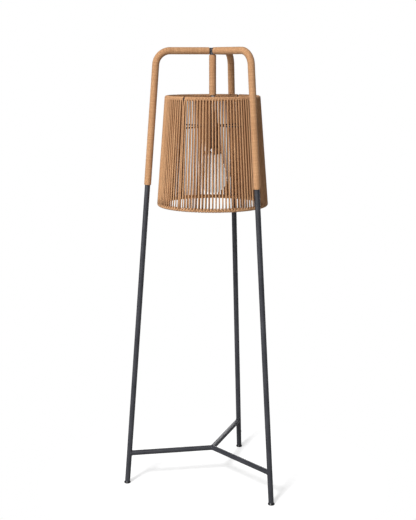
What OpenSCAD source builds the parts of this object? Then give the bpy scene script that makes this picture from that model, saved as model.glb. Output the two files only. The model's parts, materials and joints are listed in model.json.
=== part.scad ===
// Three-legged outdoor floor lamp with a cord-wound shade hung inside the tripod.
// Millimetres, +Z up. The origin is on the lamp's axis, at floor level.

/* [Tripod] */
// Height of the lamp, from the floor to the top of the wrapped arms
total_h = 1500; // [1400:10:1600]
// Distance from the axis to the foot of each leg, at the floor
foot_reach = 304; // [280:1:330]
// Distance from the axis to where the lines of arm and leg would cross
arm_reach = 185; // [180:1:210]
// Radius of the bend between arm and leg, to the middle of the tube
bend_r = 48; // [40:1:60]
// Direction of the left leg, in degrees from +X
leg_turn = 190; // [180:1:200]
// Outside diameter of the steel tubes
tube_d = 18; // [16:0.5:20]
// Wall of the steel tubes
tube_wall = 1.5; // [1.2:0.1:2]
// Diameter of the welded hub where the three arms meet
hub_d = 21; // [21:0.5:24]

/* [Brace and feet] */
// Height of the three-armed brace above the floor
brace_h = 109.5; // [80:0.5:200]
// Diameter of the brace tubes
brace_d = 17.5; // [14:0.5:18]
// Diameter of the foot glides
glide_d = 23; // [22:0.5:28]
// Height of the foot glides below the tubes
glide_h = 7; // [6:0.5:12]

/* [Cord wraps] */
// Thickness of the cord wound round arms, legs and stem
wrap_t = 2.8; // [2:0.1:3]
// Height at which the leg wraps end
wrap_end_h = 1052; // [900:1:1200]
// Distance from the axis to the start of the arm wraps
wrap_gap = 12; // [12:0.5:20]

/* [Stem and lampholder] */
// Height of the stem tube's lower end
stem_end_h = 1345; // [1335:1:1380]
// Diameter of the lampholder's skirt
skirt_d = 50; // [48:1:54]
// Height of the shoulder that the shade's gallery rests on
shoulder_h = 1242; // [1240:1:1250]
// Height of the lampholder's mouth
mouth_h = 1178; // [1176:1:1180]

/* [Bulb] */
// Largest diameter of the opal diffuser
globe_d = 97; // [90:1:100]
// Height of the diffuser's lowest point
globe_low_h = 1019; // [1000:1:1025]
// Height of the seam between diffuser and housing
seam_h = 1150; // [1148:1:1155]
// Diameter at that seam
seam_d = 58; // [54:1:62]

/* [Shade] */
// Radius of the top ring, to the middle of its rod
top_ring_r = 152; // [150:1:154]
// Radius of the bottom ring, to the middle of its rod
bottom_ring_r = 180; // [165:1:185]
// Height of the top ring
top_ring_h = 1337; // [1330:1:1345]
// Height of the bottom ring
bottom_ring_h = 984; // [960:1:1000]
// Diameter of the ring and rib rods
rod_d = 5; // [4:0.5:6]
// Diameter of the spider's rods
spider_d = 5; // [3:0.5:5]
// Diameter of the cord wound on the shade
cord_d = 4.8; // [4:0.1:5.5]
// Direction of the first rib, in degrees from +X
rib_turn = 54; // [45:0.5:70]

/* [Cable] */
// Diameter of the flex held inside the tubes
flex_d = 6; // [5:0.5:6.5]
// Height of the cable outlet in the rear leg
outlet_h = 60; // [50:5:80]
// Bore of the outlet's grommet
outlet_d = 7; // [6:0.5:8]

/* [Hidden] */
$fn = 64;

steel = "#4b4b52";
tan_cord = "#c8966a";
black = "#2a2a2c";
brass = "#c9b27a";
opal = "#f4f2ee";
zinc = "#b9bcc0";

// Directions of the legs and ribs.
left_dir = leg_turn;
right_dir = leg_turn + 120;
rear_dir = leg_turn + 240;

// Centreline of arm, bend and leg.
arm_h = total_h - tube_d / 2 - wrap_t;
lean = atan((foot_reach - arm_reach) / arm_h);
bend_setback = bend_r * tan((90 - lean) / 2);
bend_x = arm_reach - bend_setback;
bend_z = arm_h - bend_r;
leg_top_x = arm_reach + bend_setback * sin(lean);
leg_top_z = arm_h - bend_setback * cos(lean);
bend_lap = 1;
bend_step = 0.1;
bore_d = tube_d - 2 * tube_wall;
wrap_d = tube_d + 2 * wrap_t;

// Hub: its foot is level with the underside of the arm wraps.
hub_low = arm_h - wrap_d / 2;
hub_high = arm_h + tube_d / 2 + 1;
hub_roof = 3;
wire_hole_d = 10;

// Stem, bush and threaded tube.
bush_flange = 2;
bush_spigot = 12;
thread_d = 10;
thread_bore = 7;
thread_grip = 6;
nut_flats = 14;
nut_h = 5;
cap_top = shoulder_h + 45;
thread_low = cap_top - thread_grip;
thread_high = stem_end_h + bush_spigot + 1;

// Lampholder: the cap screws onto the skirt's spigot, through the gallery.
gallery_t = 3;
gallery_d = 56;
cap_d = 31;
cap_bore = 26;
spigot_d = 25.6;
skirt_wall = 3;
skirt_bore = skirt_d - 2 * skirt_wall;
shoulder_d = skirt_d - 4;
shell_bore = 26.8;
shell_wall = 0.5;
shell_d = shell_bore + 2 * shell_wall;
shell_low = mouth_h + 1;
shell_top = mouth_h + 28;
spring_room = 6;
insert_d = 40;
insert_top = mouth_h + 48;
seal_h = 6;
seal_bore = 42.5;
seal_low = mouth_h - seal_h;

// Bulb: a screw cap of 26 mm that reaches up from the lampholder's mouth.
globe_r = globe_d / 2;
globe_z = globe_low_h + globe_r;
globe_wall = 2;
seam_r = seam_d / 2;
seam_dist = norm([seam_r, seam_h - globe_z]);
tangent_a = atan2(seam_h - globe_z, seam_r) - acos(globe_r / seam_dist);
throat_d = 40;
screw_d = 26.2;
screw_wall = 0.6;
screw_top = mouth_h + 24;
plug_h = 3;
tip_low = screw_top + 2;
contact_top = tip_low + 1;
pin_d = 4.6;
pin_hole_d = 5;
plate_t = 2;

// Shade: the cords lie either side of the line from top ring to bottom ring.
shade_slope = atan((bottom_ring_r - top_ring_r) / (top_ring_h - bottom_ring_h));
shade_len = norm([bottom_ring_r - top_ring_r, top_ring_h - bottom_ring_h]);
layer_near = rod_d / 2 + 0.1;
layer_far = rod_d / 2 + cord_d;
spider_h = shoulder_h + gallery_t / 2;
spider_r = top_ring_r + (top_ring_h - spider_h) * tan(shade_slope);

// Brace and glides.
brace_reach = foot_reach - brace_h * tan(lean);

// Cable outlet.
outlet_reach = foot_reach - outlet_h * tan(lean);
outlet_hole_d = outlet_d + 3;
flex_bend = 11;
flex_low = insert_top + 2;
flex_end_h = outlet_h + 16;

// Point at a distance along the shade's slant from the top ring, and out from it.
function on_shade(along, out) = [
    top_ring_r + along * sin(shade_slope) + out * cos(shade_slope),
    top_ring_h - along * cos(shade_slope) + out * sin(shade_slope)
];

// Points of an arc about a centre, from one angle to another.
function arc(centre, r, from, to, steps) = [
    for (i = [0:steps])
        centre + r * [cos(from + (to - from) * i / steps), sin(from + (to - from) * i / steps)]
];

// A rod or tube that follows arm, bend and leg along +X.
// It starts at a distance from the axis and ends at a distance down the leg.
// The straight runs lap into the bend, which is a hair fatter, so that all three join.
module leg_run(d, start, leg_len) {
    translate([start, 0, arm_h])
        rotate([0, 90, 0])
            cylinder(d = d, h = bend_x - start + bend_lap);
    translate([bend_x, 0, bend_z])
        rotate([90, 0, 0])
            rotate([0, 0, lean])
                rotate_extrude(angle = 90 - lean)
                    translate([bend_r, 0])
                        circle(d = d + bend_step);
    translate([leg_top_x, 0, leg_top_z])
        rotate([0, 180 - lean, 0])
            translate([0, 0, -bend_lap])
                cylinder(d = d, h = leg_len + bend_lap);
}

// Length down the leg at which it reaches a height.
function leg_len_to(h) = (leg_top_z - h) / cos(lean);

// A straight cylinder on the leg's own line, from one height to another.
module leg_line(d, from_h, to_h) {
    translate([foot_reach - from_h * tan(lean), 0, from_h])
        rotate([0, -lean, 0])
            cylinder(d = d, h = (to_h - from_h) / cos(lean));
}

// Three arms are welded to this short capped tube.
module top_hub() {
    color(steel) difference() {
        translate([0, 0, hub_low])
            cylinder(d = hub_d, h = hub_high - hub_low);
        translate([0, 0, hub_low - 1])
            cylinder(d = bore_d, h = hub_high - hub_roof - hub_low + 1);
        for (turn = [left_dir, right_dir, rear_dir])
            rotate([0, 0, turn])
                translate([0, 0, arm_h])
                    rotate([0, 90, 0])
                        cylinder(d = wire_hole_d, h = hub_d);
    }
}

// Bent tube that is arm and leg in one, coped to the hub and cut level above its glide.
module leg(turn) {
    color(steel) rotate([0, 0, turn]) difference() {
        leg_run(tube_d, 2, leg_len_to(glide_h) + tube_d);
        leg_run(bore_d, 1, leg_len_to(glide_h) + tube_d + 1);
        translate([0, 0, hub_low - 1])
            cylinder(d = hub_d, h = hub_high - hub_low + 2);
        translate([foot_reach - tube_d, -tube_d, glide_h - 2 * tube_d])
            cube([2 * tube_d, 2 * tube_d, 2 * tube_d]);
        if (turn == rear_dir)
            outlet_round(outlet_hole_d, 0, tube_d);
    }
}

// Close winding of thin cord, as a sleeve on arm, bend and upper leg.
module leg_wrap(turn) {
    color(tan_cord) rotate([0, 0, turn]) difference() {
        leg_run(wrap_d, wrap_gap, leg_len_to(wrap_end_h));
        leg_run(tube_d, wrap_gap - 1, leg_len_to(wrap_end_h) + 1);
    }
}

// Drop tube that hangs from the hub.
module stem_tube() {
    color(steel) difference() {
        translate([0, 0, stem_end_h])
            cylinder(d = tube_d, h = hub_low - stem_end_h);
        translate([0, 0, stem_end_h - 1])
            cylinder(d = bore_d, h = hub_low - stem_end_h + 2);
    }
}

// Close winding of thin cord on the drop tube.
module stem_wrap() {
    color(tan_cord) difference() {
        translate([0, 0, stem_end_h - 1])
            cylinder(d = wrap_d, h = hub_low - stem_end_h);
        translate([0, 0, stem_end_h - 2])
            cylinder(d = tube_d, h = hub_low - stem_end_h + 2);
    }
}

// One arm of the brace, mitred against the other two at the middle and coped to its leg.
module brace_bar(turn) {
    mitre = [4 * brace_d, 2 * brace_d, 2 * brace_d];
    color(steel) rotate([0, 0, turn]) difference() {
        translate([0, 0, brace_h])
            rotate([0, 90, 0])
                cylinder(d = brace_d, h = brace_reach);
        leg_line(tube_d, brace_h - 2 * tube_d, brace_h + 2 * tube_d);
        for (side = [0, 1])
            mirror([0, side, 0])
                translate([0, 0, brace_h - brace_d])
                    rotate([0, 0, 60])
                        translate([-mitre[0] / 2, 0, 0])
                            cube(mitre);
    }
}

// Moulded glide: a plug in the tube and a rounded foot under it.
module glide(turn) {
    edge_r = 3;
    plug_len = 18;
    color(black) rotate([0, 0, turn]) {
        difference() {
            leg_line(bore_d, glide_h / 2, glide_h + plug_len);
            translate([foot_reach - glide_d, -glide_d, -glide_h])
                cube([2 * glide_d, 2 * glide_d, 2 * glide_h]);
        }
        translate([foot_reach, 0, 0])
            rotate_extrude()
                polygon(concat(
                    [[0, 0], [glide_d / 2 - edge_r, 0]],
                    arc([glide_d / 2 - edge_r, edge_r], edge_r, -90, 60, 8),
                    [[tube_d / 2, glide_h], [0, glide_h]]
                ));
    }
}

// Turned bush in the stem's end, with a threaded bore.
module stem_bush() {
    color(steel) difference() {
        union() {
            translate([0, 0, stem_end_h - bush_flange])
                cylinder(d = tube_d - 1, h = bush_flange);
            translate([0, 0, stem_end_h - bush_flange])
                cylinder(d = bore_d, h = bush_flange + bush_spigot);
        }
        translate([0, 0, stem_end_h - bush_flange - 1])
            cylinder(d = thread_d, h = bush_flange + bush_spigot + 2);
    }
}

// Hollow threaded tube that carries lampholder and shade.
module threaded_tube() {
    color(zinc) difference() {
        translate([0, 0, thread_low])
            cylinder(d = thread_d, h = thread_high - thread_low);
        translate([0, 0, thread_low - 1])
            cylinder(d = thread_bore, h = thread_high - thread_low + 2);
    }
}

// Hexagon lock nuts under the bush and on the lampholder's cap.
module lock_nuts() {
    for (low = [stem_end_h - bush_flange - nut_h, cap_top])
        color(zinc) difference() {
            translate([0, 0, low])
                cylinder(d = nut_flats / cos(30), h = nut_h, $fn = 6);
            translate([0, 0, low - 1])
                cylinder(d = thread_d, h = nut_h + 2);
        }
}

// Cap of the lampholder: its flange clamps the shade's gallery on the skirt's shoulder.
module lampholder_cap() {
    low = shoulder_h + gallery_t;
    flange_t = 4;
    taper_h = 6;
    chamfer = 3;
    roof = 10;
    color(black) difference() {
        union() {
            translate([0, 0, low])
                cylinder(d = shoulder_d, h = flange_t);
            translate([0, 0, low + flange_t])
                cylinder(d1 = shoulder_d - 4, d2 = cap_d, h = taper_h);
            translate([0, 0, low])
                cylinder(d = cap_d, h = cap_top - chamfer - low);
            translate([0, 0, cap_top - chamfer])
                cylinder(d1 = cap_d, d2 = cap_d - 2 * chamfer, h = chamfer);
        }
        translate([0, 0, low - 1])
            cylinder(d = cap_bore, h = cap_top - roof - low + 1);
        translate([0, 0, cap_top - roof - 1])
            cylinder(d = thread_d, h = roof + 2);
    }
}

// Skirt of the lampholder, open at the mouth, with a shoulder and a spigot above it.
module lampholder_skirt() {
    roof = 4;
    chamfer = 3;
    spigot_h = 14;
    spigot_wall = 3;
    color(black) difference() {
        union() {
            translate([0, 0, mouth_h])
                cylinder(d = skirt_d, h = shoulder_h - chamfer - mouth_h);
            translate([0, 0, shoulder_h - chamfer])
                cylinder(d1 = skirt_d, d2 = shoulder_d, h = chamfer);
            translate([0, 0, shoulder_h])
                cylinder(d = spigot_d, h = spigot_h);
        }
        translate([0, 0, mouth_h - 1])
            cylinder(d = skirt_bore, h = shoulder_h - roof - mouth_h + 1);
        translate([0, 0, shoulder_h - roof - 1])
            cylinder(d = spigot_d - 2 * spigot_wall, h = roof + spigot_h + 2);
    }
}

// Ceramic insert that carries the live parts, held in the skirt by its collar.
module lampholder_insert() {
    collar_t = 4;
    collar_low = insert_top - 10;
    spring_d = 20;
    color("white") difference() {
        union() {
            translate([0, 0, shell_low])
                cylinder(d = insert_d, h = insert_top - shell_low);
            translate([0, 0, collar_low])
                cylinder(d = skirt_bore, h = collar_t);
        }
        translate([0, 0, mouth_h])
            cylinder(d = shell_d, h = shell_top - mouth_h);
        translate([0, 0, shell_top - 1])
            cylinder(d = spring_d, h = spring_room + 1);
    }
}

// Plated shell that takes the bulb's screw cap.
module contact_shell() {
    color(brass) difference() {
        translate([0, 0, shell_low])
            cylinder(d = shell_d, h = shell_top - shell_low);
        translate([0, 0, shell_low - 1])
            cylinder(d = shell_bore, h = shell_top - shell_low + 2);
    }
}

// Spring tongue that presses on the bulb's contact, and its upright to the insert's roof.
module centre_spring() {
    strip_w = 6;
    strip_t = 0.6;
    reach = 9;
    low = contact_top + 0.3;
    color(brass) translate([0, -strip_w / 2, low]) {
        translate([-strip_w / 2, 0, 0])
            cube([reach + strip_w / 2, strip_w, strip_t]);
        translate([reach - strip_t, 0, 0])
            cube([strip_t, strip_w, shell_top + spring_room - low]);
    }
}

// Soft ring in the lampholder's mouth.
module mouth_seal() {
    color(black) difference() {
        union() {
            translate([0, 0, seal_low])
                cylinder(d1 = skirt_d - 3, d2 = skirt_d, h = seal_h / 2);
            translate([0, 0, seal_low + seal_h / 2])
                cylinder(d = skirt_d, h = seal_h / 2);
        }
        translate([0, 0, seal_low - 1])
            cylinder(d = seal_bore, h = seal_h + 2);
    }
}

// Outer or inner form of the diffuser: a globe with a tapered neck tangent to it.
module globe_form(inset) {
    tangent_z = globe_z + (globe_r - inset) * sin(tangent_a);
    translate([0, 0, globe_z])
        sphere(r = globe_r - inset, $fn = 96);
    translate([0, 0, tangent_z])
        cylinder(
            r1 = (globe_r - inset) * cos(tangent_a),
            r2 = seam_r - inset,
            h = seam_h - tangent_z,
            $fn = 96
        );
}

// Opal diffuser of the bulb, open at the seam.
module bulb_diffuser() {
    color(opal) difference() {
        globe_form(0);
        globe_form(globe_wall);
        translate([0, 0, seam_h - 0.01])
            cylinder(r = seam_r - globe_wall, h = 1);
    }
}

// Tapered housing of the bulb, which is its heat sink.
module bulb_housing() {
    neck_d = 34;
    wall = 4;
    neck_bore = 22;
    color(zinc) difference() {
        union() {
            translate([0, 0, seam_h])
                cylinder(d1 = seam_d, d2 = throat_d, h = seal_low - seam_h);
            translate([0, 0, seal_low])
                cylinder(d1 = throat_d, d2 = neck_d, h = seal_h);
        }
        translate([0, 0, seam_h - 1])
            cylinder(d1 = seam_d - 2 * wall, d2 = throat_d - 2 * wall, h = seal_low - seam_h + 1);
        translate([0, 0, seal_low - 1])
            cylinder(d = neck_bore, h = seal_h + 2);
    }
}

// Screw cap of the bulb.
module bulb_screw_cap() {
    color(zinc) difference() {
        translate([0, 0, mouth_h])
            cylinder(d = screw_d, h = screw_top - mouth_h);
        translate([0, 0, mouth_h - 1])
            cylinder(d = screw_d - 2 * screw_wall, h = screw_top - mouth_h + 2);
    }
}

// Insulating plug in the end of the screw cap.
module bulb_insulator() {
    color(black) difference() {
        union() {
            translate([0, 0, screw_top - plug_h])
                cylinder(d = screw_d - 2 * screw_wall, h = plug_h);
            translate([0, 0, screw_top])
                cylinder(d1 = screw_d - 2, d2 = 12, h = tip_low - screw_top);
        }
        translate([0, 0, screw_top - plug_h - 1])
            cylinder(d = pin_hole_d, h = plug_h + 4);
    }
}

// Round contact at the tip of the bulb.
module bulb_contact() {
    pin_len = 4;
    color(zinc) {
        translate([0, 0, tip_low])
            cylinder(d1 = 10, d2 = 7, h = contact_top - tip_low);
        translate([0, 0, tip_low - pin_len])
            cylinder(d = pin_d, h = pin_len);
    }
}

// Round plate with a circle of light-emitting diodes on its lower face.
module bulb_led_plate() {
    led = [2.8, 3.5, 1];
    led_r = 17;
    color("white") {
        translate([0, 0, seam_h - plate_t])
            cylinder(r = seam_r - globe_wall - 0.2, h = plate_t);
        for (turn = [0:30:330])
            rotate([0, 0, turn])
                translate([led_r - led[0] / 2, -led[1] / 2, seam_h - plate_t - 0.8])
                    cube(led);
    }
}

// Driver board on edge inside the housing.
module bulb_driver() {
    board = [20, 1.6, 46];
    color("#3f7d4e") translate([-board[0] / 2, -board[1] / 2, seam_h + 0.2])
        cube(board);
}

// Ring rod of the shade.
module shade_ring(r, h) {
    color(steel) translate([0, 0, h])
        rotate_extrude($fn = 96)
            translate([r, 0])
                circle(d = rod_d);
}

// Straight rib between the two rings, coped to them.
module shade_rib(index) {
    color(steel) difference() {
        rotate([0, 0, rib_turn + 90 * index])
            translate([top_ring_r, 0, top_ring_h])
                rotate([0, 180 - shade_slope, 0])
                    cylinder(d = rod_d, h = shade_len);
        shade_ring(top_ring_r, top_ring_h);
        shade_ring(bottom_ring_r, bottom_ring_h);
    }
}

// Flat ring that the lampholder clamps.
module spider_gallery() {
    color(steel) translate([0, 0, shoulder_h]) difference() {
        cylinder(d = gallery_d, h = gallery_t);
        translate([0, 0, -1])
            cylinder(d = cap_bore + 0.2, h = gallery_t + 2);
    }
}

// One rod of the spider, from inside the gallery's edge to its rib.
module spider_rod(index, d) {
    start = gallery_d / 2 - 2;
    rotate([0, 0, rib_turn + 90 * index])
        translate([start, 0, spider_h])
            rotate([0, 90, 0])
                cylinder(d = d, h = spider_r - start);
}

// The same rod, coped to the gallery's edge and to the rib.
module spider_arm(index) {
    color(steel) difference() {
        spider_rod(index, spider_d);
        translate([0, 0, shoulder_h - 1])
            cylinder(d = gallery_d, h = gallery_t + 2);
        shade_rib(index);
    }
}

// Layer of upright cords on one face of the shade, as a conical shell.
module cord_layer(side) {
    near = side * layer_near;
    far = side * layer_far;
    color(tan_cord) rotate_extrude($fn = 96)
        polygon([
            on_shade(0, near), on_shade(0, far),
            on_shade(shade_len, far), on_shade(shade_len, near)
        ]);
}

// Inner layer of cords, with a way through for each rod of the spider.
module shade_inner_cords() {
    color(tan_cord) difference() {
        cord_layer(-1);
        for (index = [0:3])
            spider_rod(index, spider_d + 1);
    }
}

// Cord bound over a ring, as a half-round cover on the side away from the shade.
module ring_binding(centre, from) {
    color(tan_cord) rotate_extrude($fn = 96)
        polygon(concat(
            arc(centre, layer_far, from, from + 180, 12),
            arc(centre, layer_near, from + 180, from, 12)
        ));
}

// Round of a given size, drawn outward from the rear leg's middle at the cable outlet.
module outlet_round(d, from, to) {
    translate([outlet_reach, 0, outlet_h])
        rotate([0, 90, 0])
            translate([0, 0, from])
                cylinder(d = d, h = to - from);
}

// Rubber grommet of the cable outlet, with its flange fitted round the leg.
module cable_grommet() {
    outside = tube_d / 2;
    flange_d = outlet_hole_d + 4;
    flange_t = 1.8;
    sink = 2;
    color(black) rotate([0, 0, rear_dir]) difference() {
        union() {
            outlet_round(outlet_hole_d, outside - tube_wall - sink, outside + 1);
            outlet_round(flange_d, outside - sink, outside + flange_t);
        }
        difference() {
            leg_line(tube_d, outlet_h - tube_d, outlet_h + tube_d);
            outlet_round(outlet_hole_d, 0, tube_d);
        }
        outlet_round(outlet_d, 0, tube_d);
    }
}

// Flex from the lampholder up the stem, along the rear arm and down the rear leg.
module inner_flex() {
    color(black) rotate([0, 0, rear_dir]) {
        translate([0, 0, flex_low])
            cylinder(d = flex_d, h = arm_h - flex_bend - flex_low + bend_lap);
        translate([flex_bend, 0, arm_h - flex_bend])
            rotate([90, 0, 0])
                rotate([0, 0, 90])
                    rotate_extrude(angle = 90)
                        translate([flex_bend, 0])
                            circle(d = flex_d + bend_step);
        leg_run(flex_d, flex_bend - bend_lap, leg_len_to(flex_end_h));
    }
}

top_hub();
leg(left_dir);  // leg_left
leg(right_dir);  // leg_right
leg(rear_dir);  // leg_rear
leg_wrap(left_dir);  // wrap_left
leg_wrap(right_dir);  // wrap_right
leg_wrap(rear_dir);  // wrap_rear
stem_tube();
stem_wrap();
brace_bar(left_dir);  // brace_left
brace_bar(right_dir);  // brace_right
brace_bar(rear_dir);  // brace_rear
glide(left_dir);  // glide_left
glide(right_dir);  // glide_right
glide(rear_dir);  // glide_rear
stem_bush();
threaded_tube();
lock_nuts();
lampholder_cap();
lampholder_skirt();
lampholder_insert();
contact_shell();
centre_spring();
mouth_seal();
bulb_diffuser();
bulb_housing();
bulb_screw_cap();
bulb_insulator();
bulb_contact();
bulb_led_plate();
bulb_driver();
shade_ring(top_ring_r, top_ring_h);  // shade_top_ring
shade_ring(bottom_ring_r, bottom_ring_h);  // shade_bottom_ring
shade_rib(0);  // shade_rib_1
shade_rib(1);  // shade_rib_2
shade_rib(2);  // shade_rib_3
shade_rib(3);  // shade_rib_4
spider_gallery();
spider_arm(0);  // spider_arm_1
spider_arm(1);  // spider_arm_2
spider_arm(2);  // spider_arm_3
spider_arm(3);  // spider_arm_4
cord_layer(1);  // shade_outer_cords
shade_inner_cords();
ring_binding(on_shade(0, 0), shade_slope);  // top_ring_binding
ring_binding(on_shade(shade_len, 0), shade_slope + 180);  // bottom_ring_binding
cable_grommet();
inner_flex();
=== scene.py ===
"""Looks of a three-legged outdoor floor lamp with a cord-wound shade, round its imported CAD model.

Lengths are in metres. Angles are in radians, except that the shade's runs, the lights and the
camera have theirs in degrees. Places come from the CAD nodes' boxes.
The cords are built one by one: the windings on the tubes, the runs of the shade and the turns
on its rings.
"""

import itertools  # noqa: E402
import json  # noqa: E402
import math  # noqa: E402

import bmesh  # noqa: E402
import bpy  # noqa: E402
import numpy as np  # noqa: E402
from mathutils import Matrix, Vector  # noqa: E402


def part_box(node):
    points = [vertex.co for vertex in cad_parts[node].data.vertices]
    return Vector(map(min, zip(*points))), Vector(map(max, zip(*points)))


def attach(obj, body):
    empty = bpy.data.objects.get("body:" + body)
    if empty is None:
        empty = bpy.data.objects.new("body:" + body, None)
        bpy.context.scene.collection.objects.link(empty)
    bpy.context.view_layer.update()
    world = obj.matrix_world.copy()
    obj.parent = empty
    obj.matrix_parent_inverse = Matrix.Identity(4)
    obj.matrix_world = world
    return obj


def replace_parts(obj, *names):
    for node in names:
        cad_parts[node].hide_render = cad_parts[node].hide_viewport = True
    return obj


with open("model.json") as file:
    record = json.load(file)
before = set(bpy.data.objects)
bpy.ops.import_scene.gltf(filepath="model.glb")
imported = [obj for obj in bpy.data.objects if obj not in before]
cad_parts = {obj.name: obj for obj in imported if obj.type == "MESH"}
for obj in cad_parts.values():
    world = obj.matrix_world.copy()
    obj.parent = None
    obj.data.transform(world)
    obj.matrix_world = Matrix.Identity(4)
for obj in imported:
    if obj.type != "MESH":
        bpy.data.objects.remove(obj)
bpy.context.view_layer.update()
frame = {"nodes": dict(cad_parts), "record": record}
rng = np.random.default_rng(20)

MM = 0.001
UP = np.array([0.0, 0.0, 1.0])
LEGS = ("left", "right", "rear")
CORD_MAP = "cord"

# Dimensions that a box can't give. The frame's are the CAD's own.
ARM_REACH = 185 * MM
BEND_R = 48 * MM
TUBE_D = 18 * MM
WRAP_D = 23.6 * MM
WRAP_START = 12 * MM
WRAP_PITCH = 3.0 * MM
WRAP_GROOVE = 0.62 * MM
WRAP_UNEVEN = 0.10 * MM
CORD_D = 4.35 * MM
CORD_GAP = 0.25 * MM
SIDES = 10
MERGE = 0.004 * MM

# The shade's runs, in degrees round its axis. A quarter lies between two ribs, and a run keeps
# close to either side of a rib.
RIB_TURN = 54.0
RIBS = 4
RUNS_PER_RIB = 26
RUN_PITCH = 3.54
FIRST_RUN = 3.8
RUN_UNEVEN = 0.12
PAIR_HALF = 0.85
PAIR_HALF_INSIDE = 1.75
PAIR_HALF_TOP = 2.1
INSIDE_SHIFT_LOW = 0.3
INSIDE_SHIFT_TOP = 1.75
RUN_BOW = 0.3 * MM
STRAIGHT_PART = 0.93

# Cord is pressed flat on the rings: its width there against its thickness.
WIDE_TOP = 1.14
WIDE_SPACER = 1.17
WIDE_PAIR = 1.27
WIDE_LOW = 1.31

# Lights: power, azimuth and elevation. Azimuth 0 is in front of the lamp, and the left is negative.
# KEY_WIDTH is an angle and SOFT_WIDTH is in metres.
KEY = (2.6, -27, 43)
KEY_WIDTH = 12
SOFT_LIGHTS = (
    ("fill_left", 30, -55, 15),
    ("fill_front", 18, -8, 20),
    ("fill_rear", 42, 165, 8),
)
SOFT_WIDTH = 2.2
WORLD_LIGHT = 0.08

# The floor's tone and glow as the camera sees it, its tone for other light, and the distances
# between which it fades to white.
FLOOR_TONE = 0.62
FLOOR_GLOW = 0.535
FLOOR_BOUNCE = 0.40
FADE_FROM = 0.38
FADE_TO = 0.62

# The camera's place, its lens in mm on a sensor of 36 mm, and how far it looks down and rolls.
CAMERA_AT = (-0.0155, -3.363, 1.450)
CAMERA_LENS = 69.38
CAMERA_DOWN = 11.14
CAMERA_ROLL = -0.03


# ---------------------------------------------------------------- places

def middle(node):
    low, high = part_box(node)
    return (low + high) / 2


def leg_turn(leg):
    """Direction of a leg, in radians from +X."""
    foot = middle("glide_" + leg)
    return math.atan2(foot.y, foot.x)


def ring_of(node):
    """Radius to the middle of a shade ring's rod, its height and the rod's own radius."""
    low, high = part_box(node)
    rod = high.z - low.z
    return (high.x - low.x - rod) / 2, (low.z + high.z) / 2, rod / 2


FOOT_REACH = middle("glide_left").to_2d().length
ARM_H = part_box("wrap_left")[1].z - WRAP_D / 2
WRAP_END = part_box("wrap_left")[0].z
LEAN = math.atan((FOOT_REACH - ARM_REACH) / ARM_H)
TOP_R, TOP_H, _ = ring_of("shade_top_ring")
LOW_R, LOW_H, ROD_R = ring_of("shade_bottom_ring")
SLOPE = math.atan((LOW_R - TOP_R) / (TOP_H - LOW_H))
WIND_R = ROD_R + CORD_GAP + CORD_D / 2


def at(turn, reach, height):
    """Point at a direction in radians, a distance from the axis and a height."""
    return np.array([reach * math.cos(turn), reach * math.sin(turn), height])


def beside(turn):
    """Unit vector across a direction in radians."""
    return np.array([-math.sin(turn), math.cos(turn), 0.0])


# ---------------------------------------------------------------- shapes

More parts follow.
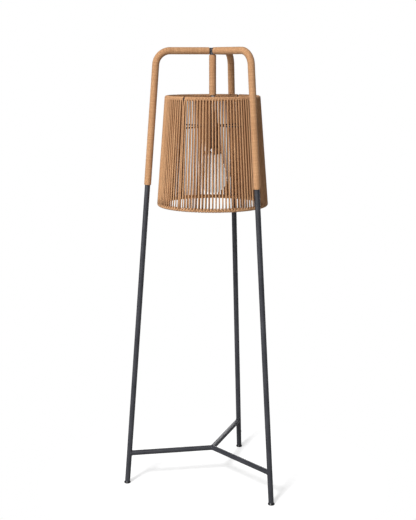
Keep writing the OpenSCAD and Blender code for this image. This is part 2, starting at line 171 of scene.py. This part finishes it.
class Shape:
    """Gathers the vertices, faces and cord coordinates of one piece."""

    def __init__(self):
        self.points = []
        self.faces = []
        self.coords = []
        self.count = 0

    def grid(self, rows, coords, caps=True):
        """Adds closed rows of points as a skin.

        coords has one column more than rows, where a row closes.
        """
        rows = np.asarray(rows, float)
        coords = np.asarray(coords, float)
        turns, sides = rows.shape[:2]
        for i in range(turns - 1):
            for j in range(sides):
                k = (j + 1) % sides
                self.faces.append([self.count + n for n in
                                   (i * sides + j, i * sides + k,
                                    (i + 1) * sides + k, (i + 1) * sides + j)])
                self.coords += [coords[i, j], coords[i, j + 1],
                                coords[i + 1, j + 1], coords[i + 1, j]]
        if caps:
            last = (turns - 1) * sides
            self.faces.append([self.count + j for j in reversed(range(sides))])
            self.coords += [coords[0, j] for j in reversed(range(sides))]
            self.faces.append([self.count + last + j for j in range(sides)])
            self.coords += [coords[-1, j] for j in range(sides)]
        self.points.append(rows.reshape(-1, 3))
        self.count += turns * sides

    def tube(self, path, radius, beside, sides=SIDES, closed=False, start=0.0, squash=1.0):
        """Adds a cord along a path and returns the length of cord so far.

        beside is a vector across the path, or one for each point. squash widens the cord that way.
        """
        path = np.asarray(path, float)
        radius = np.broadcast_to(np.asarray(radius, float), (len(path),))
        if closed:
            ahead = np.roll(path, -1, 0) - np.roll(path, 1, 0)
        else:
            ahead = np.gradient(path, axis=0)
        ahead /= np.linalg.norm(ahead, axis=1)[:, None]
        beside = np.broadcast_to(np.asarray(beside, float), path.shape).copy()
        beside -= (beside * ahead).sum(1)[:, None] * ahead
        beside /= np.linalg.norm(beside, axis=1)[:, None]
        outward = np.cross(ahead, beside)
        angle = np.arange(sides) * 2 * math.pi / sides
        rows = path[:, None] + radius[:, None, None] * (
            np.cos(angle)[None, :, None] * beside[:, None] * squash
            + np.sin(angle)[None, :, None] * outward[:, None])
        gone = np.concatenate([[0], np.cumsum(np.linalg.norm(np.diff(path, axis=0), axis=1))])
        if closed:
            rows = np.concatenate([rows, rows[:1]])
            gone = np.append(gone, gone[-1] + np.linalg.norm(path[0] - path[-1]))
        across = np.arange(sides + 1) * 2 * math.pi / sides * radius.mean()
        coords = np.stack(np.meshgrid(across, gone + start), -1)
        self.grid(rows, coords, caps=not closed)
        return gone[-1] + start

    def build(self, name, material, slot, body="lamp", merge=0.0):
        """Makes the piece. merge is the distance within which points become one."""
        mesh = bpy.data.meshes.new(name)
        mesh.from_pydata(np.concatenate(self.points), [], self.faces)
        layer = mesh.uv_layers.new(name=CORD_MAP)
        layer.data.foreach_set("uv", np.asarray(self.coords, np.float32).ravel())
        if merge:
            work = bmesh.new()
            work.from_mesh(mesh)
            bmesh.ops.remove_doubles(work, verts=work.verts, dist=merge)
            bmesh.ops.dissolve_degenerate(work, edges=work.edges, dist=merge)
            bmesh.ops.recalc_face_normals(work, faces=work.faces)
            work.to_mesh(mesh)
            work.free()
        mesh.polygons.foreach_set("use_smooth", [True] * len(mesh.polygons))
        mesh.update()
        piece = bpy.data.objects.new(name, mesh)
        bpy.context.scene.collection.objects.link(piece)
        piece.data.materials.append(material)
        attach(piece, body)
        return piece


# ---------------------------------------------------------------- materials

class Material:
    """A principled material and short ways to add nodes to it."""

    def __init__(self, name, **values):
        self.material = bpy.data.materials.new(name)
        self.material.use_nodes = True
        self.tree = self.material.node_tree
        self.shader = self.tree.nodes["Principled BSDF"]
        for socket, value in values.items():
            self.shader.inputs[socket.replace("_", " ")].default_value = value

    def node(self, kind, settings=None, **sockets):
        """Adds a node. Sockets go by name, or by number after an underscore."""
        made = self.tree.nodes.new("ShaderNode" + kind)
        for key, value in (settings or {}).items():
            setattr(made, key, value)
        for key, value in sockets.items():
            self.put(made.inputs[int(key[1:]) if key[0] == "_" else key.replace("_", " ")], value)
        return made

    def put(self, socket, value):
        if isinstance(value, bpy.types.NodeSocket):
            self.tree.links.new(value, socket)
        else:
            socket.default_value = value

    def math(self, operation, a, b=0.0, c=0.0):
        return self.node("Math", {"operation": operation}, _0=a, _1=b, _2=c).outputs[0]

    def noise(self, vector, scale, detail=3.0, rough=0.5):
        made = self.node("TexNoise", Vector=vector, Scale=scale, Detail=detail, Roughness=rough)
        return made.outputs["Fac"]

    def ramp(self, value, low, high, out_low=0.0, out_high=1.0):
        return self.node("MapRange", None, Value=value, From_Min=low, From_Max=high,
                         To_Min=out_low, To_Max=out_high).outputs[0]

    def mix(self, factor, a, b):
        made = self.node("Mix", {"data_type": "RGBA"})
        self.put(made.inputs[0], factor)
        self.put(made.inputs[6], a)
        self.put(made.inputs[7], b)
        return made.outputs[2]

    def bump(self, height, distance, strength):
        return self.node("Bump", None, Height=height, Distance=distance,
                         Strength=strength).outputs[0]

    def surface(self, colour, roughness, normal):
        sockets = {"Base Color": colour, "Roughness": roughness, "Normal": normal}
        for socket, value in sockets.items():
            self.put(self.shader.inputs[socket], value)

    def place(self, stretch=(1, 1, 1)):
        """The piece's own coordinates in metres, scaled."""
        coords = self.node("TexCoord").outputs["Object"]
        return self.node("Mapping", None, Vector=coords, Scale=stretch).outputs[0]


def rgba(red, green, blue):
    return (red, green, blue, 1.0)


def grey(tone):
    return rgba(tone, tone, tone)


def cord_material(name, around, yarns, plait, tone, base, deep_tone_and_shade, light):
    """Braided outdoor cord in three tones of one colour, darker in the braid's grooves as painted
    shade.

    around is its circumference, yarns are the count one way round, plait is their pitch, and tone
    is the length of cord after which the colour has drifted.
    """
    m = Material(name, Roughness=0.82, Sheen_Weight=0.12, Sheen_Roughness=0.5,
                 Specular_IOR_Level=0.25)
    coords = m.node("UVMap", {"uv_map": CORD_MAP}).outputs[0]
    split = m.node("SeparateXYZ", None, Vector=coords)
    over = m.math("MULTIPLY", split.outputs[0], 2 * math.pi * yarns / around)
    along = m.math("MULTIPLY", split.outputs[1], 2 * math.pi / plait)
    left = m.math("SINE", m.math("ADD", over, along))
    right = m.math("SINE", m.math("SUBTRACT", over, along))
    weave = m.math("MULTIPLY_ADD", m.math("MULTIPLY", left, right), 0.5, 0.5)
    drawn = m.node("Mapping", None, Vector=coords, Scale=(1, 0.25, 1)).outputs[0]
    fibre = m.noise(drawn, 2600, 2.0)
    patch = m.noise(m.place((1, 1, 0.35)), 34, 4.0, 0.6)
    run = m.noise(m.place((1, 1, 0.04)), 190, 1.0)
    # The weave's low points take the deep tone: painted shade in the braid's grooves.
    colour = m.mix(m.ramp(weave, 0.0, 0.75), deep_tone_and_shade, base)
    colour = m.mix(m.ramp(patch, 0.35, 0.75, 0.0, 0.55), colour, light)
    colour = m.mix(m.ramp(run, 0.3, 0.75, 0.30, 0.0), colour, deep_tone_and_shade)
    drift = m.node("TexNoise", {"noise_dimensions": "1D"},
                   W=split.outputs[1], Scale=1 / tone, Detail=1.0)
    colour = m.mix(m.ramp(drift.outputs["Fac"], 0.35, 0.65, 0.42, 0.0), colour, deep_tone_and_shade)
    colour = m.mix(m.ramp(fibre, 0.55, 0.8, 0.0, 0.25), colour, light)
    height = m.math("MULTIPLY_ADD", fibre, 0.5, weave)
    m.surface(colour, m.ramp(fibre, 0.3, 0.7, 0.72, 0.92), m.bump(height, 0.28 * MM, 0.7))
    return m.material


def powder_coat():
    """Charcoal powder coat: a fine orange peel, slow drifts of tone and a few rubbed streaks."""
    m = Material("powder_coat", Metallic=0.0, Specular_IOR_Level=0.5)
    place = m.place()
    peel = m.noise(place, 950, 2.0, 0.55)
    drift = m.noise(place, 16, 4.0, 0.6)
    rub = m.noise(m.place((1, 1, 0.12)), 420, 3.0, 0.7)
    dark, pale = rgba(0.030, 0.031, 0.038), rgba(0.050, 0.051, 0.060)
    colour = m.mix(m.ramp(drift, 0.35, 0.7), dark, pale)
    colour = m.mix(m.ramp(rub, 0.62, 0.8, 0.0, 0.35), colour, rgba(0.13, 0.13, 0.145))
    m.surface(colour, m.ramp(rub, 0.3, 0.75, 0.33, 0.50), m.bump(peel, 0.12 * MM, 0.5))
    return m.material


def moulded(name, colour, rough, grain=1200):
    """Moulded plastic or rubber with a fine grain and slightly uneven gloss."""
    m = Material(name, Specular_IOR_Level=0.45)
    place = m.place()
    fine = m.noise(place, grain, 3.0, 0.6)
    slow = m.noise(place, 60, 3.0)
    dark = rgba(*[c * 0.75 for c in colour])
    m.surface(m.mix(m.ramp(slow, 0.3, 0.7), dark, rgba(*colour)),
              m.ramp(slow, 0.3, 0.7, rough - 0.06, rough + 0.06),
              m.bump(fine, 0.08 * MM, 0.35))
    return m.material


def metal(name, colour, rough, turned=0.0):
    """Bare or plated metal with fine turning lines and slight stains. turned deepens the lines."""
    m = Material(name, Metallic=1.0)
    lines = m.noise(m.place((0.05, 0.05, 1)), 2400, 2.0)
    slow = m.noise(m.place(), 90, 4.0, 0.6)
    dull = rgba(*[c * 0.7 for c in colour])
    m.surface(m.mix(m.ramp(slow, 0.4, 0.75), rgba(*colour), dull),
              m.ramp(slow, 0.3, 0.7, rough - 0.07, rough + 0.08),
              m.bump(lines, 0.04 * MM, 0.2 + turned))
    return m.material


def opal():
    """Frosted opal plastic of the bulb, with a faint glow that is painted light where little light
    reaches it inside the shade.
    """
    # The emission is painted light, brightening the bulb inside the shade.
    m = Material("opal", Specular_IOR_Level=0.5,
                 Emission_Color=rgba(1, 0.985, 0.96), Emission_Strength=0.24)
    slow = m.noise(m.place(), 22, 2.0)
    fine = m.noise(m.place(), 1500, 2.0)
    dark, pale = rgba(0.86, 0.86, 0.855), rgba(0.92, 0.92, 0.915)
    m.surface(m.mix(m.ramp(slow, 0.3, 0.7), dark, pale),
              m.ramp(slow, 0.3, 0.7, 0.30, 0.38),
              m.bump(fine, 0.03 * MM, 0.25))
    return m.material


TAN = rgba(0.69, 0.405, 0.203)
# The deep tone serves for random darker cord and for painted shade in the braid's grooves.
TAN_DEEP_AND_SHADE = rgba(0.385, 0.178, 0.080)
TAN_LIGHT = rgba(0.79, 0.485, 0.262)
# Darker tans for the inside runs: painted shade, as the outside runs would shade them.
TAN_PAINTED_SHADE = rgba(0.40, 0.196, 0.090)
TAN_PAINTED_SHADE_DEEP = rgba(0.25, 0.108, 0.047)
CORD_WEAVE = (math.pi * CORD_D, 6, 3.4 * MM, 0.5)
WRAP_WEAVE = (WRAP_PITCH, 2, 2.6 * MM, 0.11)
MATERIALS = {
    "powder_coat": powder_coat(),
    "shade_cord": cord_material("shade_cord", *CORD_WEAVE, TAN, TAN_DEEP_AND_SHADE, TAN_LIGHT),
    # Cord darkened as painted shade, for the inside runs.
    "painted_shade_cord": cord_material("painted_shade_cord", *CORD_WEAVE, TAN_PAINTED_SHADE, TAN_PAINTED_SHADE_DEEP, TAN),
    "wrap_cord": cord_material("wrap_cord", *WRAP_WEAVE, TAN, TAN_DEEP_AND_SHADE, TAN_LIGHT),
    "black_plastic": moulded("black_plastic", (0.016, 0.016, 0.018), 0.27),
    "holder_plastic": moulded("holder_plastic", (0.030, 0.029, 0.031), 0.36),
    "rubber": moulded("rubber", (0.014, 0.014, 0.015), 0.72, 700),
    "porcelain": moulded("porcelain", (0.82, 0.81, 0.78), 0.22, 300),
    "white_board": moulded("white_board", (0.80, 0.80, 0.79), 0.45),
    "green_board": moulded("green_board", (0.03, 0.16, 0.06), 0.40),
    "contact_brass": metal("contact_brass", (0.80, 0.60, 0.30), 0.30),
    "bulb_metal": metal("bulb_metal", (0.60, 0.61, 0.63), 0.42),
    "cap_metal": metal("cap_metal", (0.68, 0.68, 0.67), 0.28, 0.2),
    "zinc": metal("zinc", (0.52, 0.53, 0.56), 0.36),
    "opal": opal(),
}


def finish_nodes():
    """Gives every CAD node the material of its slot."""
    for entry in frame["record"]["subparts"]:
        node = frame["nodes"][entry["node"]]
        node.data.materials.clear()
        node.data.materials.append(MATERIALS[entry["material_slot"]])


# ---------------------------------------------------------------- windings

def leg_line():
    """Middle line of arm, bend and upper leg in the leg's own plane, and its length.

    The line is a function from a length along it to the reach, the height and how far it has
    turned downwards.
    """
    setback = BEND_R * math.tan((math.pi / 2 - LEAN) / 2)
    bend_x = ARM_REACH - setback
    arm = bend_x - WRAP_START
    bend = BEND_R * (math.pi / 2 - LEAN)
    leg_x = ARM_REACH + setback * math.sin(LEAN)
    leg_z = ARM_H - setback * math.cos(LEAN)
    leg = (leg_z - WRAP_END) / math.cos(LEAN)

    def spot(s):
        if s <= arm:
            return WRAP_START + s, ARM_H, 0.0
        if s <= arm + bend:
            a = (s - arm) / BEND_R
            return bend_x + BEND_R * math.sin(a), ARM_H - BEND_R + BEND_R * math.cos(a), a
        down = s - arm - bend
        return leg_x + down * math.sin(LEAN), leg_z - down * math.cos(LEAN), math.pi / 2 - LEAN

    return spot, arm + bend + leg


def straight_line(top, length):
    """The same for a drop straight down the axis."""
    return (lambda s: (0.0, top - s, math.pi / 2)), length


def wound(name, spot, length, turn, node):
    """A close winding of flattened cord on a tube, as one ridged sleeve with real turns.

    profile is a turn's cross-section: the share of the pitch and of the groove's depth.
    """
    sides = 20
    lining_steps = 40
    profile = ((0, 0), (0.12, 0.62), (0.3, 0.93), (0.5, 1), (0.7, 0.93), (0.88, 0.62))
    bare = TUBE_D / 2 + 0.02 * MM
    crest = WRAP_D / 2
    turns = math.ceil(length / WRAP_PITCH) + 1
    across = beside(turn)

    def point(s, radius, angle):
        reach, height, dip = spot(s)
        outer = at(turn, math.sin(dip), math.cos(dip))
        spoke = math.cos(angle) * outer + math.sin(angle) * across
        return at(turn, reach, height) + radius * spoke

    angles = [j * 2 * math.pi / sides for j in range(sides)]
    uneven = {t: rng.uniform(-WRAP_UNEVEN, WRAP_UNEVEN) for t in range(-1, turns)}
    rows, coords = [], []
    for t, (q, h) in itertools.product(range(-1, turns), profile):
        row = []
        for j, angle in enumerate(angles):
            s = (t + q + j / sides) * WRAP_PITCH
            inside = 0.0 < s < length
            radius = crest - WRAP_GROOVE * (1 - h) + uneven[t] * h if inside else bare
            row.append(point(min(max(s, 0.0), length), radius, angle))
        rows.append(row)
        coords.append([((t + q) * WRAP_PITCH, (t + j / sides) * 2 * math.pi * crest)
                       for j in range(sides + 1)])
    shape = Shape()
    shape.grid(rows, coords, caps=False)
    lining = [[point(length * i / lining_steps, bare, angle) for angle in angles]
              for i in range(lining_steps, -1, -1)]
    shape.grid(lining, np.zeros((lining_steps + 1, sides + 1, 2)), caps=False)
    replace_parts(shape.build(name, MATERIALS["wrap_cord"], "wrap_cord", merge=MERGE), node)


def windings():
    """The three legs and the stem, in that order."""
    spot, length = leg_line()
    for leg in LEGS:
        wound("winding_" + leg, spot, length, leg_turn(leg), "wrap_" + leg)
    low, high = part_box("stem_wrap")
    spot, length = straight_line(high.z, high.z - low.z)
    wound("winding_stem", spot, length, 0.0, "stem_wrap")


# ---------------------------------------------------------------- shade

def ring_point(radius, height, azimuth, angle):
    """Point on the winding round a ring.

    azimuth is in degrees. angle is in radians, from straight outwards and up over the ring.
    """
    reach = radius + WIND_R * math.cos(angle)
    return at(math.radians(azimuth), reach, height + WIND_R * math.sin(angle))


def sideways(azimuths):
    """Unit vectors along a ring."""
    return np.array([beside(turn) for turn in np.radians(azimuths)])


def runs():
    """Directions of each turn of cord, in degrees, and whether a rib follows it.

    They are the run outside, its end on the top ring, and the top and the foot of the run inside.
    """
    found = []
    for rib in range(RIBS):
        start = RIB_TURN + 90 * rib
        found.append((start + PAIR_HALF, start + PAIR_HALF_TOP,
                      start + PAIR_HALF_INSIDE, start + PAIR_HALF_INSIDE, False))
        for i in range(RUNS_PER_RIB - 2):
            a = start + FIRST_RUN + RUN_PITCH * i + rng.uniform(-RUN_UNEVEN, RUN_UNEVEN)
            found.append((a, a, a + INSIDE_SHIFT_TOP, a + INSIDE_SHIFT_LOW, False))
        end = start + 90
        found.append((end - PAIR_HALF, end - PAIR_HALF_TOP,
                      end - PAIR_HALF_INSIDE, end - PAIR_HALF_INSIDE, True))
    return found


def shade_runs(shape, turns, side):
    """Runs between the rings, on the outside (side 1) or the inside (side -1).

    turns are their directions at the foot, at the top, and where their end has bent aside on the
    top ring.
    """
    angle = SLOPE if side > 0 else SLOPE + math.pi
    steps = 13
    start = 0.0
    parts = np.concatenate([np.linspace(0, STRAIGHT_PART, steps), (0.95, 0.97, 0.985, 1.0)])
    for low_turn, top_turn, end_turn in turns:
        bow = rng.uniform(-RUN_BOW, RUN_BOW)
        across = beside(math.radians(low_turn))
        path = []
        for part in parts:
            aside = max(0.0, (part - STRAIGHT_PART) / (1 - STRAIGHT_PART))
            turn = low_turn + (top_turn - low_turn) * part + (end_turn - top_turn) * aside
            low = ring_point(LOW_R, LOW_H, turn, angle)
            top = ring_point(TOP_R, TOP_H, turn, angle)
            path.append(low + (top - low) * part + across * bow * math.sin(math.pi * part))
        start = shape.tube(path, CORD_D / 2, across, start=start)


def over_ring(shape, radius, height, turns, angle_from, angle_to, squash):
    """Cord round part of a ring. turns are its directions at even steps of the angle."""
    steps_round = 20
    steps = max(8, int(abs(angle_to - angle_from) / (2 * math.pi) * steps_round)) + 1
    angles = np.linspace(angle_from, angle_to, steps)
    azimuths = np.interp(np.linspace(0, 1, steps), np.linspace(0, 1, len(turns)), turns)
    path = [ring_point(radius, height, a, b) for a, b in zip(azimuths, angles)]
    shape.tube(path, CORD_D / 2, sideways(azimuths), squash=squash)


def spacer(shape, radius, height, outer, inner):
    """One closed turn of cord on a ring, between two runs."""
    steps = 20
    angles = np.arange(steps) * 2 * math.pi / steps
    azimuths = (outer + inner) / 2 + (outer - inner) / 2 * np.cos(angles)
    path = [ring_point(radius, height, a, b) for a, b in zip(azimuths, angles)]
    shape.tube(path, CORD_D / 2, sideways(azimuths), closed=True, squash=WIDE_SPACER)


def shade():
    """The cord's way: up outside, over the top ring, down inside and round the bottom ring."""
    every = runs()
    following = every[1:] + [tuple(a + 360 for a in every[0][:4]) + (False,)]
    outside, inside, top, low = Shape(), Shape(), Shape(), Shape()
    shade_runs(outside, [(a, a, b) for a, b, _, _, _ in every], 1)
    shade_runs(inside, [(d, c, c) for _, _, c, d, _ in every], -1)
    up, down = SLOPE, SLOPE + math.pi
    for (a, b, c, d, pair), (next_a, next_b, next_c, _, _) in zip(every, following):
        over_ring(top, TOP_R, TOP_H, (b, c), up, down, WIDE_TOP)
        if pair:
            over_ring(low, LOW_R, LOW_H, (d, next_a), down, down + math.pi, WIDE_PAIR)
            continue
        spacer(top, TOP_R, TOP_H, (b + next_b) / 2, (c + next_c) / 2)
        half = (a + next_a) / 2
        turns = (d, half, (half + next_a) / 2, next_a)
        over_ring(low, LOW_R, LOW_H, turns, down, down + 3 * math.pi, WIDE_LOW)
    # The inside runs take the darker cord, which is painted shade.
    cord, inner_cord = MATERIALS["shade_cord"], MATERIALS["painted_shade_cord"]
    for name, shape, node, look in (
            ("shade_cords_outside", outside, "shade_outer_cords", cord),
            ("shade_cords_inside", inside, "shade_inner_cords", inner_cord),
            ("cord_turns_top_ring", top, "top_ring_binding", cord),
            ("cord_turns_bottom_ring", low, "bottom_ring_binding", cord)):
        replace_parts(shape.build(name, look, "shade_cord"), node)


# ---------------------------------------------------------------- welds

def bead(shape, path, radius, closed=True):
    """A weld bead with a small, slightly uneven ripple along a line."""
    ripple, pace, uneven = 0.13, 1.9, 0.05
    path = np.asarray(path, float)
    waves = ripple * np.sin(np.arange(len(path)) * pace)
    radii = radius * (1 + waves + rng.uniform(-uneven, uneven, len(path)))
    not_zero = 1e-6
    shape.tube(path, radii, path - path.mean(0) + not_zero, sides=8, closed=closed)


def round_angles(steps):
    return np.arange(steps) * 2 * math.pi / steps


def along_x(node):
    """Half of a node's width."""
    low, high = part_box(node)
    return (high.x - low.x) / 2


def brace_welds(shape):
    """Beads where the brace's tubes meet the legs and each other."""
    low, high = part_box("brace_left")
    radius = (high.z - low.z) / 2
    height = middle("brace_left").z
    for leg in LEGS:
        turn = leg_turn(leg)
        ring = []
        for a in round_angles(44):
            y, z = radius * math.cos(a), height + radius * math.sin(a)
            leg_x = FOOT_REACH - z * math.tan(LEAN)
            x = leg_x - math.sqrt((TUBE_D / 2) ** 2 - y * y) / math.cos(LEAN)
            ring.append(at(turn, x, z) + y * beside(turn))
        bead(shape, ring, 1.5 * MM)
    for leg in LEGS:
        turn = leg_turn(leg) + math.pi / 3
        arc = []
        for a in np.linspace(-math.pi / 2, math.pi / 2, 30):
            reach = radius * math.cos(a) / math.sin(math.pi / 3)
            arc.append(at(turn, reach, height + radius * math.sin(a)))
        bead(shape, arc, 1.2 * MM, closed=False)


def hub_welds(shape):
    """Beads where the arms meet the hub, just inside the tubes' outlines."""
    inset = 0.93
    hub_r = along_x("top_hub")
    radius = inset * TUBE_D / 2
    for leg in LEGS:
        turn = leg_turn(leg)
        ring = []
        for a in round_angles(40):
            y, z = radius * math.cos(a), ARM_H + radius * math.sin(a)
            x = math.sqrt(hub_r ** 2 - y * y) + 0.1 * MM
            ring.append(at(turn, x, z) + y * beside(turn))
        bead(shape, ring, 0.9 * MM)


def shade_welds(shape):
    """Ring beads where the spider's rods and the ribs end, just inside their outlines."""
    inset = 0.95
    low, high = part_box("spider_arm_1")
    rod_r = (high.z - low.z) / 2
    height = (high.z + low.z) / 2
    gallery_r = along_x("spider_gallery")
    rib_reach = TOP_R + (TOP_H - height) * math.tan(SLOPE)
    for rib in range(RIBS):
        turn = math.radians(RIB_TURN + 90 * rib)
        out = at(turn, 1.0, 0.0)
        down = -UP * math.cos(SLOPE) + out * math.sin(SLOPE)
        for centre, axis, radius, bead_r in (
                (at(turn, gallery_r + 0.4 * MM, height), out, rod_r, 0.8 * MM),
                (at(turn, rib_reach - ROD_R - 0.2 * MM, height), out, rod_r, 0.8 * MM),
                (at(turn, TOP_R, TOP_H) + down * ROD_R, down, ROD_R, 0.7 * MM),
                (at(turn, LOW_R, LOW_H) - down * ROD_R, down, ROD_R, 0.7 * MM)):
            other = np.cross(axis, beside(turn))
            ring = [centre + radius * inset * (math.cos(a) * beside(turn) + math.sin(a) * other)
                    for a in round_angles(20)]
            bead(shape, ring, bead_r)


def welds():
    for name, make in (
            ("brace_welds", brace_welds),
            ("hub_welds", hub_welds),
            ("shade_welds", shade_welds)):
        shape = Shape()
        make(shape)
        shape.build(name, MATERIALS["powder_coat"], "powder_coat")


# ---------------------------------------------------------------- threads

def thread(name, node, bore, depth, pitch, rounded, body="lamp"):
    """A hollow round piece with a real screw thread, in place of a plain node.

    bore is a diameter. rounded is a lamp cap's thread, and otherwise it is a metric one.
    """
    sides = 40
    low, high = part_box(node)
    radius = along_x(node)
    if rounded:
        profile = [(q / 8, 0.5 - 0.5 * math.cos(2 * math.pi * q / 8)) for q in range(8)]
    else:
        profile = [(0.0, 0.0), (0.06, 0.0), (0.47, 1.0), (0.59, 1.0)]

    def circle(r, z):
        return [at(j * 2 * math.pi / sides, r, z) for j in range(sides)]

    rows = [circle(bore / 2, low.z)]
    for t in range(-1, math.ceil((high.z - low.z) / pitch) + 1):
        for q, h in profile:
            row = []
            for j in range(sides):
                z = low.z + (t + q + j / sides) * pitch
                r = radius - depth * (1 - h) if low.z < z < high.z else radius - depth
                row.append(at(j * 2 * math.pi / sides, r, min(max(z, low.z), high.z)))
            rows.append(row)
    rows += [circle(bore / 2, high.z), circle(bore / 2, low.z)]
    shape = Shape()
    shape.grid(rows, np.zeros((len(rows), sides + 1, 2)), caps=False)
    slot = next(e["material_slot"] for e in frame["record"]["subparts"] if e["node"] == node)
    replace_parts(shape.build(name, MATERIALS[slot], slot, body=body, merge=MERGE), node)


def threads():
    thread("fine_thread", "threaded_tube",
           bore=7 * MM, depth=0.6 * MM, pitch=1.0 * MM, rounded=False)
    thread("cap_thread", "bulb_screw_cap",
           bore=22.5 * MM, depth=1.2 * MM, pitch=3.63 * MM, rounded=True, body="bulb")


# ---------------------------------------------------------------- stage

def make_floor():
    """White floor with soft shadows near the feet, plain white further off and open from below."""
    half = 30.0
    m = Material("floor", Roughness=1.0, Specular_IOR_Level=0.0, Base_Color=grey(FLOOR_TONE))
    mesh = bpy.data.meshes.new("floor")
    corners = [(-half, -half, 0), (half, -half, 0), (half, half, 0), (-half, half, 0)]
    mesh.from_pydata(corners, [], [(0, 1, 2, 3)])
    floor = bpy.data.objects.new("floor", mesh)
    bpy.context.scene.collection.objects.link(floor)
    mesh.materials.append(m.material)
    glow = m.node("Emission", None, Color=grey(1), Strength=FLOOR_GLOW)
    near = m.node("AddShader", None, _0=m.shader.outputs[0], _1=glow.outputs[0])
    white = m.node("Emission", None, Color=grey(1), Strength=1.0)
    away = m.node("VectorMath", {"operation": "LENGTH"}, _0=m.place()).outputs["Value"]
    far = m.ramp(away, FADE_FROM, FADE_TO)
    seen = m.node("MixShader", None, _0=far, _1=near.outputs[0], _2=white.outputs[0])
    plain = m.node("BsdfDiffuse", None, Color=grey(FLOOR_BOUNCE))
    path = m.node("LightPath").outputs["Is Camera Ray"]
    both = m.node("MixShader", None, _0=path, _1=plain.outputs[0], _2=seen.outputs[0])
    under = m.node("NewGeometry").outputs["Backfacing"]
    clear = m.node("BsdfTransparent")
    open_below = m.node("MixShader", None, _0=under, _1=both.outputs[0], _2=clear.outputs[0])
    m.tree.links.new(open_below.outputs[0], m.tree.nodes["Material Output"].inputs["Surface"])


def make_world():
    """Faint light from all round, and plain white where the camera sees past the floor."""
    world = bpy.data.worlds.new("studio")
    bpy.context.scene.world = world
    world.use_nodes = True
    tree = world.node_tree
    tree.nodes.clear()
    path = tree.nodes.new("ShaderNodeLightPath")
    mix = tree.nodes.new("ShaderNodeMixShader")
    out = tree.nodes.new("ShaderNodeOutputWorld")
    tree.links.new(path.outputs["Is Camera Ray"], mix.inputs[0])
    for socket, strength in ((mix.inputs[1], WORLD_LIGHT), (mix.inputs[2], 1.0)):
        background = tree.nodes.new("ShaderNodeBackground")
        background.inputs["Color"].default_value = grey(1)
        background.inputs["Strength"].default_value = strength
        tree.links.new(background.outputs[0], socket)
    tree.links.new(mix.outputs[0], out.inputs["Surface"])


def add_light(data, azimuth, elevation, distance):
    """Aims a light at the lamp's middle."""
    light = bpy.data.objects.new(data.name, data)
    a, e = math.radians(azimuth), math.radians(elevation)
    away = Vector((math.sin(a) * math.cos(e), -math.cos(a) * math.cos(e), math.sin(e)))
    aim = Vector((0, 0, 0.8))
    light.location = aim + away * distance
    light.rotation_mode = "QUATERNION"
    light.rotation_quaternion = away.to_track_quat("Z", "Y")
    bpy.context.scene.collection.objects.link(light)


def key_light(energy, azimuth, elevation):
    data = bpy.data.lights.new("key", "SUN")
    data.energy = energy
    data.angle = math.radians(KEY_WIDTH)
    add_light(data, azimuth, elevation, 4)


def soft_light(name, energy, azimuth, elevation):
    data = bpy.data.lights.new(name, "AREA")
    data.shape = "DISK"
    data.size = SOFT_WIDTH
    data.energy = energy
    add_light(data, azimuth, elevation, 3)


def make_camera():
    data = bpy.data.cameras.new("camera")
    data.sensor_width = 36.0
    data.lens = CAMERA_LENS
    camera = bpy.data.objects.new("camera", data)
    bpy.context.scene.collection.objects.link(camera)
    pitch, roll = math.radians(90 - CAMERA_DOWN), math.radians(CAMERA_ROLL)
    turn = Matrix.Rotation(pitch, 4, "X") @ Matrix.Rotation(roll, 4, "Z")
    camera.matrix_world = Matrix.Translation(CAMERA_AT) @ turn
    bpy.context.scene.camera = camera


def stage():
    bpy.context.scene.view_settings.view_transform = "Standard"
    make_floor()
    make_world()
    key_light(*KEY)
    for light in SOFT_LIGHTS:
        soft_light(*light)
    make_camera()


stage()
finish_nodes()
windings()
shade()
welds()
threads()
